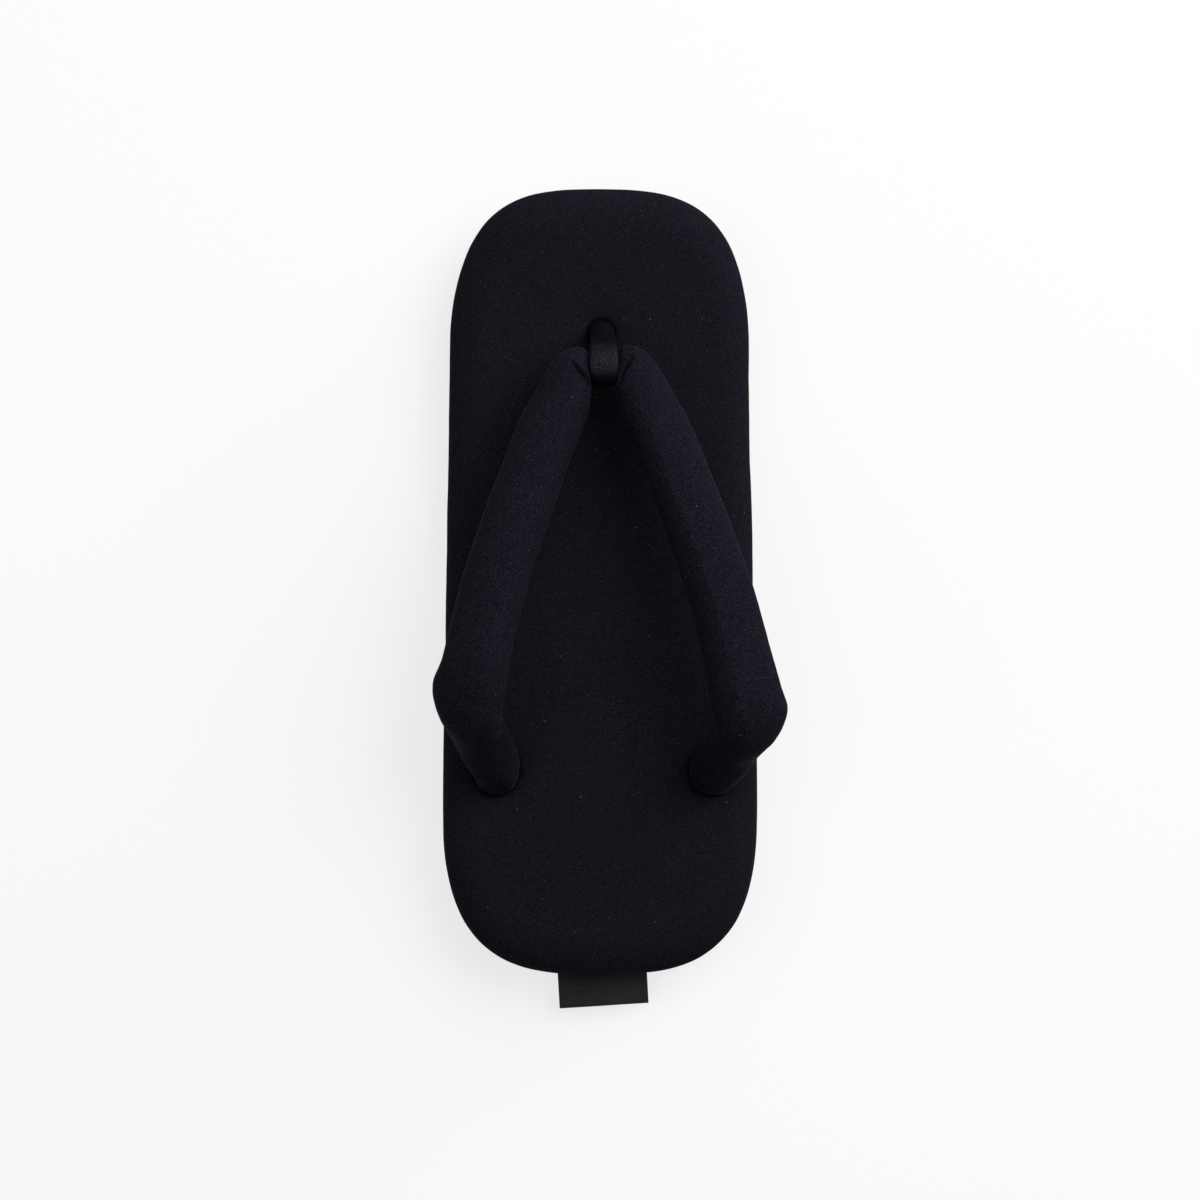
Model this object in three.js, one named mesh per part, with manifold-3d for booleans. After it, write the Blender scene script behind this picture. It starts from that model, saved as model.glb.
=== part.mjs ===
// Padded setta sandal: a soft footbed on a plain outsole, a stuffed V-shaped strap (hanao), the loop that
// ties the strap down between the toes, and a folded ribbon label at the heel.
// Millimetres, +Z up, +Y towards the toe, +X to the wearer's right. The sandal stands on z = 0.
import * as THREE from "three";
import { mergeVertices } from "three/addons/utils/BufferGeometryUtils.js";
import Module from "manifold-3d";

const wasm = await Module();
wasm.setup();

// ---------------------------------------------------------------- driving sizes
const GAP = 0.3; // between pieces that touch

// footbed, seen from above: straight sides that widen a little to the heel, closed by two superellipse ends
const LENGTH = 255;
const TOE_HALF_WIDTH = 48.8;
const HEEL_HALF_WIDTH = 51.2;
const TOE_END_DEPTH = 61.8;
const HEEL_END_DEPTH = 59.8;
const END_POWER = 3.0;
const TOE_Y = LENGTH / 2;
const TOE_END_Y = TOE_Y - TOE_END_DEPTH; // where the toe's curve begins
const HEEL_END_Y = -LENGTH / 2 + HEEL_END_DEPTH;

// footbed, seen from the side
const PAD_THICKNESS = 20;
const PAD_WIDEST_AT = 9.5; // height of the widest line above the pad's underside
const PAD_TOP_EDGE = 11; // how far in the rounded edge reaches on top, along the sides
const PAD_END_EDGE = 16; // and at the toe and heel
const PAD_END_FROM = 84; // the edge widens from here to the tips
const PAD_UNDER_EDGE = 9; // and underneath
const PAD_EDGE_POWER = 2.15;
const PAD_CROWN = 1.0;

// outsole
const SOLE_HEEL_THICKNESS = 11;
const SOLE_FORE_THICKNESS = 7;
const SOLE_WEDGE_FROM = -45; // the heel's extra thickness runs out between these
const SOLE_WEDGE_TO = 40;
const SOLE_INSET = 4.0; // inside the footbed's widest line
const SOLE_EDGE_ROUND = 1.4;
const TOE_SPRING = 5.0;
const SPRING_FROM = 62; // the ball: flat on the floor from the heel to here

// strap: the roll's section is a soft oval; along the arms its top line lies nearer the inner edge, because the stuffing
// has settled: ridge is where that line is between the middle (0) and the inner edge (-1)
const STRAP_SECTION_POWER = 2.3;
const ARM_SECTION = { ridge: -0.34, in_power: 1.55, out_power: 2.1 };
const STRAP_SIDES = 16;

// toe loop: a rolled band, flat where it goes round the strap, plump where its two legs share the slot
const LOOP_SIDES = 12;
const SLOT_Y = 80.1; // middle of the round slot in the footbed
const SLOT_RADIUS = 4.9;
const LEG_SPREAD = 1.15; // each leg's centre line from SLOT_Y
const LOOP_FRONT_ANGLE = 24; // degrees round the strap where the front leg leaves it
const LOOP_REAR_ANGLE = 232; // and the rear leg
const LOOP_WRAP = 1.1; // half the band's thickness on the strap

// heel label
const LABEL_WIDTH = 29.2;
const LABEL_THICKNESS = 1.2;
const LABEL_SHOWS = 11.3; // beyond the footbed's edge
const LABEL_HELD = 8.0; // length that is out of sight under the footbed
const LABEL_DROOP = 1.2;
const LABEL_TURN = 3.4; // degrees about Z
const LABEL_X = 0.6;

// The strap's sections, from the pinched middle outwards and down into the footbed, for the right arm. Each one runs
// from its inner edge (in_x, in_y) to its outer edge (out_x, out_y); up is its height above the footbed, half_t half
// its thickness, drop how much lower the outer edge lies, lead how far the outer edge moves with the shoulder, arm how
// far it has the arm's section, hold how far it follows its hole, and sag how far it goes down with the shoulder.
const STRAP_ROWS = [
  { at: "neck", in_x: 0.0, in_y: 64.6, out_x: 0.0, out_y: 73.1, up: 16.5, half_t: 4.6, drop: 0, lead: 0, arm: 0, hold: 0, sag: 0 },
  { at: "neck side", in_x: 3.3, in_y: 64.5, out_x: 3.3, out_y: 73.1, up: 16.5, half_t: 4.6, drop: 0, lead: 0, arm: 0, hold: 0, sag: 0 },
  { at: "loop edge", in_x: 4.6, in_y: 63.4, out_x: 4.9, out_y: 73.3, up: 16.5, half_t: 4.7, drop: 0, lead: 0, arm: 0, hold: 0, sag: 0 },
  { at: "corner 1", in_x: 4.8, in_y: 62.1, out_x: 6.8, out_y: 75.0, up: 16.4, half_t: 5.8, drop: 0, lead: -0.06, arm: 0, hold: 0, sag: 0 },
  { at: "corner 2", in_x: 4.5, in_y: 61.0, out_x: 11.2, out_y: 74.4, up: 16.9, half_t: 6.8, drop: 0, lead: -0.06, arm: 0.1, hold: 0, sag: 0 },
  { at: "corner 3", in_x: 4.2, in_y: 59.6, out_x: 15.6, out_y: 71.0, up: 17.8, half_t: 7.5, drop: 0, lead: -0.03, arm: 0.3, hold: 0, sag: 0 },
  { at: "corner 4", in_x: 4.3, in_y: 57.4, out_x: 19.4, out_y: 64.8, up: 19.0, half_t: 8.0, drop: 0, lead: 0, arm: 0.5, hold: 0, sag: 0 },
  { at: "arm start", in_x: 5.4, in_y: 52.4, out_x: 23.4, out_y: 57.6, up: 20.8, half_t: 8.3, drop: 0, lead: 0, arm: 0.8, hold: 0, sag: 0 },
  { at: "arm 1", in_x: 8.5, in_y: 44.5, out_x: 26.9, out_y: 51.0, up: 23.0, half_t: 8.5, drop: 0, lead: 0, arm: 1, hold: 0, sag: 0 },
  { at: "arm 2", in_x: 13.2, in_y: 31.6, out_x: 32.0, out_y: 38.2, up: 26.8, half_t: 8.5, drop: 0.2, lead: 0, arm: 1, hold: 0, sag: 0 },
  { at: "arm 3", in_x: 19.8, in_y: 12.8, out_x: 39.2, out_y: 19.2, up: 31.4, half_t: 8.5, drop: 0.5, lead: 0.1, arm: 1, hold: 0, sag: 0 },
  { at: "arm 4", in_x: 25.8, in_y: -5.9, out_x: 45.7, out_y: 0.3, up: 35.0, half_t: 8.6, drop: 1, lead: 0.3, arm: 1, hold: 0, sag: 0 },
  { at: "arm 5", in_x: 30.0, in_y: -24.2, out_x: 50.9, out_y: -19.0, up: 37.4, half_t: 8.7, drop: 1.8, lead: 0.45, arm: 1, hold: 0, sag: 0 },
  { at: "arm 6", in_x: 31.6, in_y: -33.4, out_x: 53.4, out_y: -28.0, up: 37.9, half_t: 8.9, drop: 2.6, lead: 0.8, arm: 0.9, hold: 0, sag: 0.1 },
  { at: "shoulder 1", in_x: 32.9, in_y: -41.0, out_x: 54.6, out_y: -31.8, up: 37.2, half_t: 9.2, drop: 3.4, lead: 1, arm: 0.95, hold: 0, sag: 0.5 },
  { at: "shoulder 2", in_x: 33.9, in_y: -45.4, out_x: 56.0, out_y: -35.6, up: 35.4, half_t: 9.5, drop: 4, lead: 1, arm: 0.9, hold: 0, sag: 0.8 },
  { at: "shoulder 3", in_x: 34.5, in_y: -48.0, out_x: 54.7, out_y: -39.2, up: 32.6, half_t: 9.4, drop: 4.2, lead: 1, arm: 0.75, hold: 0, sag: 1 },
  { at: "shoulder 4", in_x: 34.3, in_y: -49.6, out_x: 51.9, out_y: -42.8, up: 28.6, half_t: 9.0, drop: 4, lead: 0.9, arm: 0.5, hold: 0, sag: 1 },
  { at: "return 1", in_x: 33.0, in_y: -52.2, out_x: 49.0, out_y: -47.8, up: 21.0, half_t: 8.6, drop: 4.6, lead: 0.74, arm: 0.2, hold: 0.1, sag: 0.6 },
  { at: "return 2", in_x: 31.0, in_y: -55.4, out_x: 46.6, out_y: -54.8, up: 12.4, half_t: 8.4, drop: 4.0, lead: 0.56, arm: 0, hold: 0.5, sag: 0.1 },
  { at: "foot", in_x: 28.6, in_y: -58.8, out_x: 43.9, out_y: -60.2, up: 4.4, half_t: 8.2, drop: 2.0, lead: 0.3, arm: 0, hold: 1, sag: 0 },
  { at: "mouth", in_x: 28.5, in_y: -60.8, out_x: 42.8, out_y: -61.4, up: -1.6, half_t: 7.4, drop: 0, lead: 0, arm: 0, hold: 1, sag: 0 },
  { at: "throat", in_x: 29.8, in_y: -61.2, out_x: 40.2, out_y: -61.2, up: -7.0, half_t: 5.2, drop: 0, lead: 0, arm: 0, hold: 1, sag: 0 },
  { at: "tail", in_x: 30.4, in_y: -61.2, out_x: 39.6, out_y: -61.2, up: -12.0, half_t: 4.6, drop: 0, lead: 0, arm: 0, hold: 1, sag: 0 },
  { at: "tail end", in_x: 30.4, in_y: -61.2, out_x: 39.6, out_y: -61.2, up: -19.2, half_t: 4.6, drop: 0, lead: 0, arm: 0, hold: 1, sag: 0 },
];
// The shoulders were set by hand: how far each one's outer corner stands out and back from the rows above, how much of
// the drop it has, how far in its hole is, and how much sooner it turns down.
const SHOULDER_SET = {
  left: { side: -1, out: -3.1, back: -6.2, drop: 1.6, hole: 1.9, sag: 3.2 },
  right: { side: 1, out: 0.5, back: 2.9, drop: 0.6, hole: 0, sag: -1.0 },
};
// The loop's section along its way: half_w across, outer and inner are its thickness either side of its centre line,
// power how square it is.
const LOOP_ROWS = [
  { at: "front leg", half_w: 4.0, outer: 3.0, inner: 0.95, power: 2.0 },
  { at: "front top", half_w: 4.3, outer: LOOP_WRAP, inner: LOOP_WRAP, power: 2.5 },
  { at: "over", half_w: 4.5, outer: LOOP_WRAP, inner: LOOP_WRAP, power: 2.5 },
  { at: "behind", half_w: 3.6, outer: LOOP_WRAP, inner: LOOP_WRAP, power: 2.5 },
  { at: "rear leg", half_w: 3.5, outer: 3.2, inner: 0.95, power: 2.2 },
];

// ---------------------------------------------------------------- small helpers
const { clamp, degToRad, lerp, smoothstep } = THREE.MathUtils;
const signedPow = (v, p) => Math.sign(v) * Math.pow(Math.abs(v), p);

// Collects faces, merges their corners and drops the ones that have no area.
class Skin {
  constructor() {
    this.xyz = [];
  }
  tri(a, b, c) {
    for (const p of [a, b, c]) this.xyz.push(p.x, p.y, p.z);
  }
  quad(a, b, c, d) {
    this.tri(a, b, c);
    this.tri(a, c, d);
  }
  // Walls between two rings with the same number of corners.
  band(lower, upper) {
    lower.forEach((p, i) => {
      const j = (i + 1) % lower.length;
      this.quad(p, lower[j], upper[j], upper[i]);
    });
  }
  // A flat or domed end on a ring.
  fan(ring, centre, flip) {
    ring.forEach((p, i) => {
      const q = ring[(i + 1) % ring.length];
      flip ? this.tri(q, p, centre) : this.tri(p, q, centre);
    });
  }
  geometry() {
    const raw = new THREE.BufferGeometry();
    raw.setAttribute("position", new THREE.Float32BufferAttribute(this.xyz, 3));
    const merged = mergeVertices(raw, 1e-3);
    const kept = [];
    const idx = merged.index.array;
    for (let i = 0; i < idx.length; i += 3) {
      const [a, b, c] = [idx[i], idx[i + 1], idx[i + 2]];
      if (a !== b && b !== c && c !== a) kept.push(a, b, c);
    }
    merged.setIndex(kept);
    return merged;
  }
}

const solid = (geometry) => {
  const g = geometry.clone();
  g.deleteAttribute("normal");
  g.deleteAttribute("uv");
  const m = mergeVertices(g, 1e-3);
  return new wasm.Manifold(
    new wasm.Mesh({
      numProp: 3,
      vertProperties: new Float32Array(m.attributes.position.array),
      triVerts: new Uint32Array(m.index.array),
    }),
  );
};

const geometryOf = (manifold) => {
  const m = manifold.getMesh();
  const g = new THREE.BufferGeometry();
  g.setAttribute("position", new THREE.BufferAttribute(new Float32Array(m.vertProperties), 3));
  g.setIndex(new THREE.BufferAttribute(new Uint32Array(m.triVerts), 1));
  return g;
};

// ---------------------------------------------------------------- the sole's own functions
// Height of the toe's upward sweep, and of each layer, at a place along the sandal.
const lift = (y) => {
  const t = clamp((y - SPRING_FROM) / (TOE_Y - SPRING_FROM), 0, 1);
  return TOE_SPRING * t * t;
};
const soleThickness = (y) =>
  lerp(SOLE_HEEL_THICKNESS, SOLE_FORE_THICKNESS, smoothstep(y, SOLE_WEDGE_FROM, SOLE_WEDGE_TO));
const soleTop = (y) => lift(y) + soleThickness(y);
const padBase = (y) => soleTop(y) + GAP;
const padTop = (y) => padBase(y) + PAD_THICKNESS;

const END_STEPS = 11;
const SIDE_STEPS = 12;

// Right half of the outline, toe tip to heel tip.
function outlineHalf() {
  const pts = [];
  const end = (half, y0, depth, s) => {
    for (let i = 0; i <= END_STEPS; i++) {
      const a = (Math.PI / 2) * (s > 0 ? 1 - i / END_STEPS : i / END_STEPS);
      pts.push(
        new THREE.Vector2(
          half * signedPow(Math.cos(a) < 1e-9 ? 0 : Math.cos(a), 2 / END_POWER),
          y0 + s * depth * signedPow(Math.sin(a), 2 / END_POWER),
        ),
      );
    }
  };
  end(TOE_HALF_WIDTH, TOE_END_Y, TOE_END_DEPTH, 1);
  for (let i = 1; i < SIDE_STEPS; i++) {
    const t = i / SIDE_STEPS;
    pts.push(
      new THREE.Vector2(lerp(TOE_HALF_WIDTH, HEEL_HALF_WIDTH, t), lerp(TOE_END_Y, HEEL_END_Y, t)),
    );
  }
  end(HEEL_HALF_WIDTH, HEEL_END_Y, HEEL_END_DEPTH, -1);
  return pts;
}

// The whole outline moved in by inset(y): toe tip, right side, heel tip, left side, in that order.
function outline(inset) {
  const half = outlineHalf();
  const whole = [...half, ...half.slice(1, -1).reverse().map((p) => new THREE.Vector2(-p.x, p.y))];
  return whole.map((p, i) => {
    const a = whole[(i + whole.length - 1) % whole.length];
    const b = whole[(i + 1) % whole.length];
    const along = b.clone().sub(a).normalize();
    const d = inset(p.y);
    return new THREE.Vector2(p.x + along.y * d, p.y - along.x * d); // inwards, the outline runs clockwise
  });
}

// A soft slab: rings from its top edge to its underside edge, closed by two faces that run straight across.
// rows: {inset(y), z(y)} from top to bottom; topZ and underZ shape the two big faces.
function slab(rows, columns, topZ, underZ) {
  const skin = new Skin();
  const rings = rows.map((r) => outline(r.inset).map((p) => new THREE.Vector3(p.x, p.y, r.z(p.y))));
  for (let k = 0; k + 1 < rings.length; k++) skin.band(rings[k], rings[k + 1]);
  const face = (ring, zOf, up) => {
    const n = ring.length / 2; // index n is the heel tip
    const row = (i) => {
      const right = ring[i];
      const left = ring[(ring.length - i) % ring.length];
      return Array.from({ length: columns + 1 }, (_, j) => {
        const share = lerp(-1, 1, j / columns);
        const p = left.clone().lerp(right, j / columns);
        if (j > 0 && j < columns) p.z = zOf(share, p.y, p.z);
        return p;
      });
    };
    for (let i = 0; i < n; i++) {
      const a = row(i);
      const b = row(i + 1);
      for (let j = 0; j < columns; j++)
        up ? skin.quad(b[j], b[j + 1], a[j + 1], a[j]) : skin.quad(a[j], a[j + 1], b[j + 1], b[j]);
    }
  };
  face(rings[0], topZ, true);
  face(rings[rings.length - 1], underZ, false);
  return skin.geometry();
}

// ---------------------------------------------------------------- the strap
const COLUMNS = ["in_x", "in_y", "in_z", "out_x", "out_y", "out_z", "half_t", "ridge", "in_power", "out_power"];

// Every section from the left tail to the right tail.
function strapRows() {
  const section = (set) => (r) => ({
    in_x: set.side * (r.in_x - set.hole * r.hold),
    in_y: r.in_y,
    in_z: padTop(r.out_y) + r.up - set.sag * r.sag + (set.drop * r.drop) / 2,
    out_x: set.side * (r.out_x + set.out * r.lead - set.hole * r.hold),
    out_y: r.out_y - set.back * r.lead,
    out_z: padTop(r.out_y) + r.up - set.sag * r.sag - (set.drop * r.drop) / 2,
    half_t: r.half_t,
    ridge: ARM_SECTION.ridge * r.arm,
    in_power: lerp(STRAP_SECTION_POWER, ARM_SECTION.in_power, r.arm),
    out_power: lerp(STRAP_SECTION_POWER, ARM_SECTION.out_power, r.arm),
  });
  const left = STRAP_ROWS.slice(1).map(section(SHOULDER_SET.left));
  const right = STRAP_ROWS.map(section(SHOULDER_SET.right)); // with the neck
  return [...left.reverse(), ...right];
}

// One roll from the left tail to the right tail, grown by `extra` all round and lengthened by it.
function strapGeometry(extra, stepsPerRow) {
  const rows = strapRows();
  const curves = Object.fromEntries(
    COLUMNS.map((c) => [
      c,
      new THREE.SplineCurve(rows.map((r, i) => new THREE.Vector2(i, r[c]))),
    ]),
  );
  const count = (rows.length - 1) * stepsPerRow;
  const stations = Array.from({ length: count + 1 }, (_, i) => {
    const v = Object.fromEntries(COLUMNS.map((c) => [c, curves[c].getPoint(i / count).y]));
    const inner = new THREE.Vector3(v.in_x, v.in_y, v.in_z);
    const outer = new THREE.Vector3(v.out_x, v.out_y, v.out_z);
    return {
      centre: inner.clone().lerp(outer, 0.5),
      across: outer.clone().sub(inner).normalize(),
      half_w: inner.distanceTo(outer) / 2,
      ...v,
    };
  });
  const rings = stations.map((st, i) => {
    const a = stations[Math.max(i - 1, 0)].centre;
    const b = stations[Math.min(i + 1, count)].centre;
    const along = b.clone().sub(a).normalize();
    const up = new THREE.Vector3().crossVectors(along, st.across).normalize();
    const end = i === 0 ? -1 : i === count ? 1 : 0;
    return Array.from({ length: STRAP_SIDES }, (_, k) => {
      const ang = (2 * Math.PI * k) / STRAP_SIDES;
      const c = Math.abs(Math.cos(ang)) < 1e-9 ? 0 : Math.cos(ang);
      const e = 2 / (c > 0 ? st.out_power : st.in_power);
      const ridge = Math.sin(ang) > 0 ? st.ridge : 0; // only the top leans
      const share = ridge + (1 - Math.sign(c) * ridge) * signedPow(c, e);
      return st.centre
        .clone()
        .addScaledVector(st.across, (st.half_w + extra) * share)
        .addScaledVector(up, (st.half_t + extra) * signedPow(Math.sin(ang), e))
        .addScaledVector(along, end * extra * 4);
    });
  });
  const skin = new Skin();
  for (let i = 0; i < count; i++) skin.band(rings[i], rings[i + 1]);
  const middleOf = (ring) =>
    ring.reduce((sum, p) => sum.add(p), new THREE.Vector3()).multiplyScalar(1 / ring.length);
  skin.fan(rings[0], middleOf(rings[0]), true);
  skin.fan(rings[count], middleOf(rings[count]), false);
  return skin.geometry();
}

// ---------------------------------------------------------------- the toe loop
// Its path lies in the middle plane: up from the slot in front of the strap, round it, and back down behind.
// Each stop carries the section there.
function loopStops() {
  const neck = STRAP_ROWS[0];
  const [frontLeg, frontTop, over, behind, rearLeg] = LOOP_ROWS;
  const reach = GAP + LOOP_WRAP;
  const a = (neck.out_y - neck.in_y) / 2 + reach + 0.1;
  const b = neck.half_t + reach + 0.1;
  const e = 2 / STRAP_SECTION_POWER;
  const cy = (neck.out_y + neck.in_y) / 2;
  const cz = padTop(neck.out_y) + neck.up;
  const top = padTop(SLOT_Y) + PAD_CROWN;
  const foot = padBase(SLOT_Y) + 0.6;
  const mix = (r, q, t) => ({
    half_w: lerp(r.half_w, q.half_w, t),
    outer: lerp(r.outer, q.outer, t),
    inner: lerp(r.inner, q.inner, t),
    power: lerp(r.power, q.power, t),
  });
  const onStrap = (deg) => {
    const c = Math.cos(degToRad(deg));
    const s = Math.sin(degToRad(deg));
    return new THREE.Vector3(0, cy + a * signedPow(c, e), cz + b * signedPow(s, e));
  };
  const stops = [];
  const leg = (y, row, order) => {
    const heights = [foot, lerp(foot, top, 0.35), lerp(foot, top, 0.7), top + 0.3];
    if (order < 0) heights.reverse();
    for (const z of heights) stops.push({ p: new THREE.Vector3(0, y, z), ...row });
  };
  const slope = (p, q, r0, r1, n) => {
    for (let i = 1; i <= n; i++) {
      const t = i / (n + 1);
      stops.push({ p: p.clone().lerp(q, t), ...mix(r0, r1, smoothstep(t, 0, 1)) });
    }
  };
  leg(SLOT_Y + LEG_SPREAD, frontLeg, 1);
  slope(stops[3].p, onStrap(LOOP_FRONT_ANGLE), frontLeg, frontTop, 4);
  const N = 16;
  for (let i = 0; i <= N; i++) {
    const deg = lerp(LOOP_FRONT_ANGLE, LOOP_REAR_ANGLE, i / N);
    const row = deg < 100 ? mix(frontTop, over, smoothstep(deg, 30, 100)) : mix(over, behind, smoothstep(deg, 100, 165));
    stops.push({ p: onStrap(deg), ...row });
  }
  const rearTop = new THREE.Vector3(0, SLOT_Y - LEG_SPREAD, top + 0.3);
  slope(stops[stops.length - 1].p, rearTop, behind, rearLeg, 4);
  leg(SLOT_Y - LEG_SPREAD, rearLeg, -1);
  return stops;
}

function loopGeometry(extra) {
  const stops = loopStops();
  const across = new THREE.Vector3(1, 0, 0);
  const skin = new Skin();
  const rings = stops.map((st, i) => {
    const a = stops[Math.max(i - 1, 0)].p;
    const b = stops[Math.min(i + 1, stops.length - 1)].p;
    const along = b.clone().sub(a).normalize();
    const outward = new THREE.Vector3().crossVectors(along, across).normalize();
    return Array.from({ length: LOOP_SIDES }, (_, k) => {
      const ang = (2 * Math.PI * k) / LOOP_SIDES;
      const e = 2 / st.power;
      const depth = Math.sin(ang) > 0 ? st.outer : st.inner;
      return st.p
        .clone()
        .addScaledVector(across, (st.half_w + extra) * signedPow(Math.cos(ang), e))
        .addScaledVector(outward, (depth + extra) * signedPow(Math.sin(ang), e));
    });
  });
  for (let i = 0; i + 1 < rings.length; i++) skin.band(rings[i], rings[i + 1]);
  skin.fan(rings[0], stops[0].p, true);
  skin.fan(rings[rings.length - 1], stops[stops.length - 1].p, false);
  return skin.geometry();
}

// The round slot in the footbed that takes both legs, cut right through it.
function slotGeometry() {
  const g = new THREE.CylinderGeometry(SLOT_RADIUS, SLOT_RADIUS, PAD_THICKNESS + 20, 20);
  g.rotateX(Math.PI / 2);
  g.translate(0, SLOT_Y, padBase(SLOT_Y) + PAD_THICKNESS / 2);
  return g;
}

// ---------------------------------------------------------------- the heel label
// A folded ribbon: flat where it is held, drooping a little where it shows, with a round fold at its end.
function labelGeometry(extra) {
  const held = LABEL_HELD;
  const total = held + LABEL_SHOWS;
  const half = LABEL_THICKNESS / 2 + extra;
  const mid = (s) => -LABEL_DROOP * Math.pow(clamp((s - held) / LABEL_SHOWS, 0, 1), 2);
  const shape = new THREE.Shape();
  const N = 10;
  const s = (i) => lerp(-extra, total, i / N);
  shape.moveTo(s(0), mid(0) + half);
  for (let i = 1; i <= N; i++) shape.lineTo(s(i), mid(s(i)) + half);
  for (let i = 1; i < 4; i++) {
    const a = lerp(90, -90, i / 4);
    shape.lineTo(total + half * Math.cos(degToRad(a)), mid(total) + half * Math.sin(degToRad(a)));
  }
  for (let i = N; i >= 0; i--) shape.lineTo(s(i), mid(s(i)) - half);
  const width = LABEL_WIDTH + 2 * extra;
  const g = new THREE.ExtrudeGeometry(shape, { depth: width, bevelEnabled: false });
  // the profile's x runs out of the heel, its y up, and the extrusion across the sandal
  g.translate(0, 0, -width / 2);
  const m = new THREE.Matrix4().makeBasis(
    new THREE.Vector3(0, -1, 0),
    new THREE.Vector3(0, 0, 1),
    new THREE.Vector3(-1, 0, 0),
  );
  g.applyMatrix4(m);
  g.rotateZ(degToRad(LABEL_TURN));
  const heelTip = -LENGTH / 2;
  g.translate(LABEL_X, heelTip + LABEL_HELD, soleTop(heelTip) - LABEL_THICKNESS / 2);
  return g;
}

// ---------------------------------------------------------------- the pieces
function footbedGeometry() {
  const rows = [];
  const STEPS = 6;
  const e = 2 / PAD_EDGE_POWER;
  const topEdge = (y) => lerp(PAD_TOP_EDGE, PAD_END_EDGE, smoothstep(Math.abs(y), PAD_END_FROM, LENGTH / 2));
  for (let i = 0; i <= STEPS; i++) {
    const a = (Math.PI / 2) * (i / STEPS); // from the top face round to the widest line
    rows.push({
      inset: (y) => topEdge(y) * (1 - signedPow(Math.sin(a), e)),
      z: (y) => padBase(y) + PAD_WIDEST_AT + (PAD_THICKNESS - PAD_WIDEST_AT) * signedPow(Math.max(Math.cos(a), 0), e),
    });
  }
  for (let i = 1; i <= STEPS; i++) {
    const a = (Math.PI / 2) * (i / STEPS); // and on round to the underside
    rows.push({
      inset: () => PAD_UNDER_EDGE * (1 - signedPow(Math.max(Math.cos(a), 0), e)),
      z: (y) => padBase(y) + PAD_WIDEST_AT * (1 - signedPow(Math.sin(a), e)),
    });
  }
  const crown = (share, y, z) => z + PAD_CROWN * (1 - Math.pow(share, 4)) * smoothstep(TOE_Y - Math.abs(y), 10, 40);
  const body = slab(rows, 8, crown, (share, y, z) => z);
  const cuts = [strapGeometry(0.35, 2), slotGeometry(), loopGeometry(0.35)]; // room for the tails and the legs
  return geometryOf(cuts.reduce((pad, cut) => pad.subtract(solid(cut)), solid(body)));
}

function outsoleGeometry() {
  const r = SOLE_EDGE_ROUND;
  const rows = [
    { inset: () => SOLE_INSET + r * 0.6, z: (y) => soleTop(y) },
    { inset: () => SOLE_INSET, z: (y) => soleTop(y) - r * 0.6 },
    { inset: () => SOLE_INSET, z: (y) => lift(y) + r },
    { inset: () => SOLE_INSET + r * 0.3, z: (y) => lift(y) + r * 0.3 },
    { inset: () => SOLE_INSET + r, z: (y) => lift(y) },
  ];
  const body = slab(rows, 4, (share, y, z) => z, (share, y, z) => z);
  return geometryOf(solid(body).subtract(solid(labelGeometry(GAP))));
}

const NAVY = 0x10111c;
const fabric = (color, roughness) =>
  new THREE.MeshStandardMaterial({ color, roughness, metalness: 0 });

const pieces = [
  ["outsole", outsoleGeometry(), fabric(0x141414, 0.8)],
  ["footbed", footbedGeometry(), fabric(NAVY, 0.9)],
  ["hanao", strapGeometry(0, 2), fabric(NAVY, 0.88)],
  ["toe_loop", loopGeometry(0), fabric(0x0d0d0e, 0.55)],
  ["heel_label", labelGeometry(0), fabric(0x232423, 0.6)],
];

// ---------------------------------------------------------------- assembly
// The origin is on the floor, under the middle of the sandal's outer box.
const sandal = new THREE.Group();
sandal.name = "setta";
for (const [name, geometry, material] of pieces) {
  geometry.computeVertexNormals();
  const mesh = new THREE.Mesh(geometry, material);
  mesh.name = name;
  sandal.add(mesh);
}
const box = new THREE.Box3().setFromObject(sandal);
const middle = box.getCenter(new THREE.Vector3());
for (const mesh of sandal.children) mesh.position.set(-middle.x, -middle.y, 0);

export default sandal;
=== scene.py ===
import math

import bpy
import numpy as np
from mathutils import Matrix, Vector


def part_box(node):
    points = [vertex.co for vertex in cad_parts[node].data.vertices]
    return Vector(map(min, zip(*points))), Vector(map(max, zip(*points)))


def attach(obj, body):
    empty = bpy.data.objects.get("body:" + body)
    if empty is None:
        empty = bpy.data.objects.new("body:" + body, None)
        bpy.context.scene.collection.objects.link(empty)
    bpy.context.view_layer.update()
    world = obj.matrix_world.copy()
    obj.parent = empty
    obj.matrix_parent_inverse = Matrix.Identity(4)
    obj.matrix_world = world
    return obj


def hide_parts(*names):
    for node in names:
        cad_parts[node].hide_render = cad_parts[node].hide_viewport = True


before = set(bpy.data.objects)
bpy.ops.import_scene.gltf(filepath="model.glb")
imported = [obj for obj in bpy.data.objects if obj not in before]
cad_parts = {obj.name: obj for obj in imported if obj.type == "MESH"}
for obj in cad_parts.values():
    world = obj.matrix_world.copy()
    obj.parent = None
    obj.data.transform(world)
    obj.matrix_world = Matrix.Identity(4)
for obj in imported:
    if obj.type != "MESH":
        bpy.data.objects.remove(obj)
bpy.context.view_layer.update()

# The sandal is worked out in millimetres, with the footbed's middle at x = y = 0, as the part's own sizes are.
# MM and HOME take it to metres in the shared frame.
MM = 0.001
_lo, _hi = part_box("footbed")
HOME = np.array([(_lo.x + _hi.x) / 2, (_lo.y + _hi.y) / 2, 0.0])

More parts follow.
